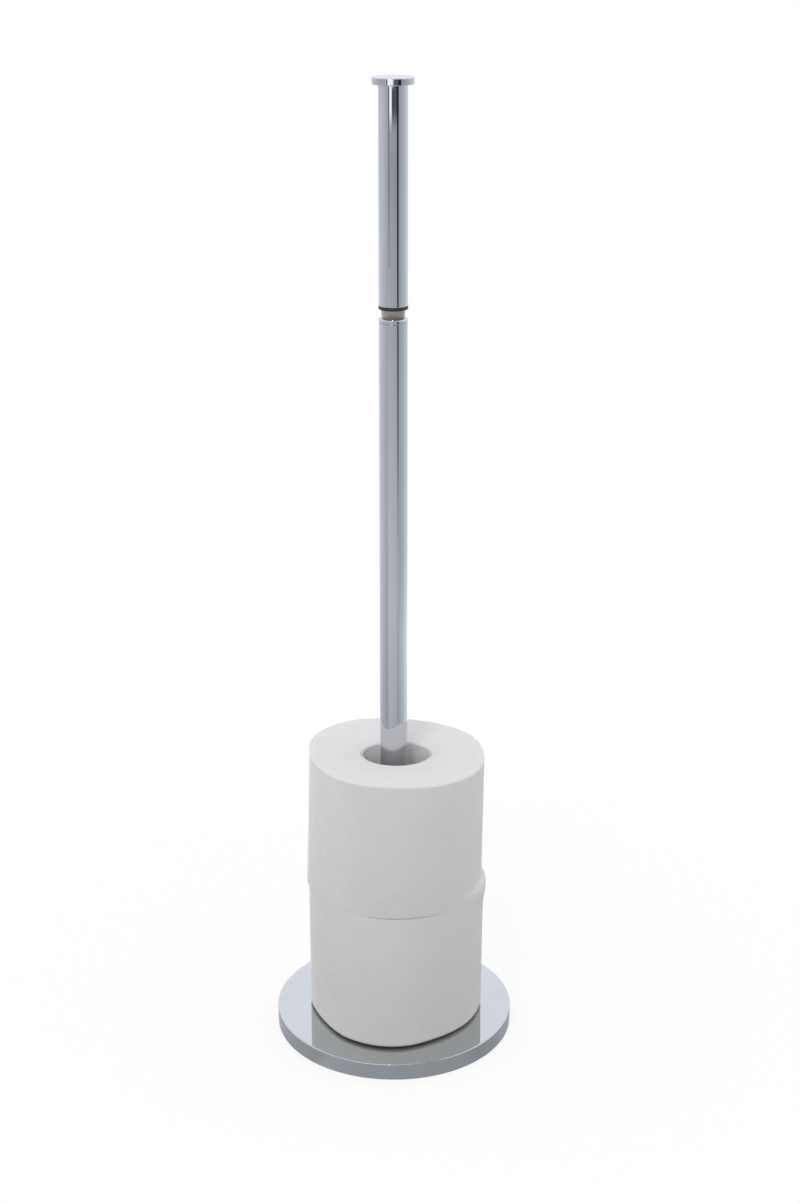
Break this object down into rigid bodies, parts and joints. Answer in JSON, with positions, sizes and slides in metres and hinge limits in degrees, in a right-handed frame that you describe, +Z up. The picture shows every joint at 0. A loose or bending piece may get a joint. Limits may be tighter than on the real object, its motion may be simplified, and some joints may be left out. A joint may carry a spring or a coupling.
{
  "type": "freestanding toilet paper holder",
  "caption": "Freestanding toilet paper holder: a weighted round base, a chrome post with reserve rolls on it, and a flanged arm that folds down to hold the roll in use.",
  "frame": {"origin": "on the floor under the middle of the round base", "axes": "+Z up along the post, -Y towards the front as pictured, and the arm folds back towards +Y"},
  "size_m": [0.16, 0.16, 0.634],
  "materials": {
    "base_pad": "matt black",
    "base_weight": "as cast",
    "base_cover": "polished",
    "base_screw": "zinc plated",
    "base_washer": "zinc plated",
    "post_tube": "polished",
    "post_ferrule": "polished",
    "post_foot_plug": "bare",
    "hinge_pin": "bare",
    "brake_plug": "natural nylon",
    "brake_spring": "bare",
    "spring_seat": "bare",
    "hinge_tongue": "unplated grey",
    "arm_buffer": "soft black",
    "arm_tube": "polished",
    "tongue_set_screw": "bare",
    "cap_plug": "bare",
    "end_cap": "polished",
    "lower_roll_paper": "soft white tissue",
    "lower_roll_core": "plain grey",
    "upper_roll_paper": "soft white tissue",
    "upper_roll_core": "plain grey"
  },
  "bodies": {
    "stand": {"base_pad": "base_pad", "base_weight": "base_weight", "base_cover": "base_cover", "base_screw": "base_screw", "base_washer": "base_washer", "post_tube": "post_tube", "post_ferrule": "post_ferrule", "post_foot_plug": "post_foot_plug", "hinge_pin": "hinge_pin", "brake_plug": "brake_plug", "brake_spring": "brake_spring", "spring_seat": "spring_seat"},
    "arm": {"hinge_tongue": "hinge_tongue", "arm_buffer": "arm_buffer", "arm_tube": "arm_tube", "tongue_set_screw": "tongue_set_screw", "cap_plug": "cap_plug", "end_cap": "end_cap"},
    "lower_roll": {"lower_roll_paper": "lower_roll_paper", "lower_roll_core": "lower_roll_core"},
    "upper_roll": {"upper_roll_paper": "upper_roll_paper", "upper_roll_core": "upper_roll_core"}
  },
  "joints": [
    {"name": "arm_fold", "type": "hinge", "parent": "stand", "child": "arm", "pos_m": [0, 0, 0.4845], "axis": [-1, 0, 0], "range_deg": [0, 90]},
    {"name": "lower_roll_lift", "type": "slide", "parent": "stand", "child": "lower_roll", "axis": [0, 0, 1], "range_m": [0, 0.13]},
    {"name": "upper_roll_lift", "type": "slide", "parent": "lower_roll", "child": "upper_roll", "axis": [0, 0, 1], "range_m": [0, 0.13]}
  ]
}
